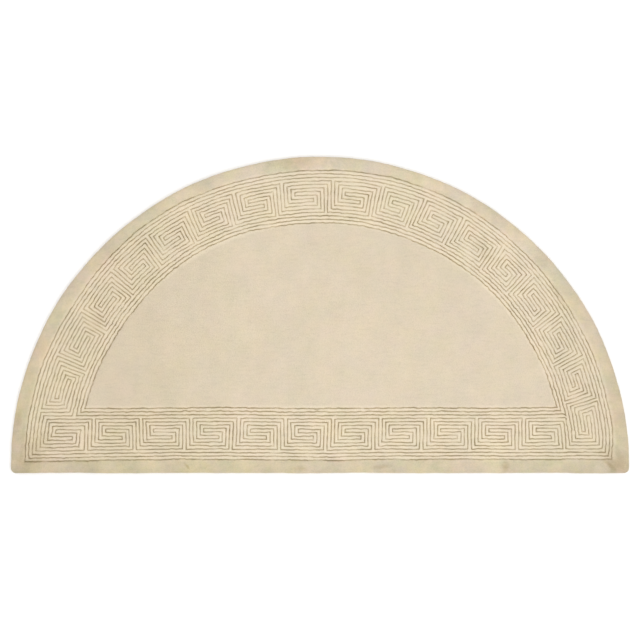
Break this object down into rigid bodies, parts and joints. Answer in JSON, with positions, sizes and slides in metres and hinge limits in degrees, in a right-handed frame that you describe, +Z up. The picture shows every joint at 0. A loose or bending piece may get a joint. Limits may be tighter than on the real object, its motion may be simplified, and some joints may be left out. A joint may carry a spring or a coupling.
{
  "type": "half-moon chinese rug",
  "caption": "Flat half-moon hearth rug in thick cream wool pile, with a meander border carved into the pile between plain carved lines.",
  "frame": {"origin": "on the floor, under the middle of the rug's bounding box", "axes": "+X along the straight hearth edge, to the right; +Y from the straight edge towards the top of the arc; +Z up, out of the pile"},
  "size_m": [1.37, 0.701, 0.013],
  "materials": {
    "wool_pile": "matt cut pile of undyed cream wool"
  },
  "bodies": {
    "root": {"rug": "wool_pile"}
  },
  "joints": []
}
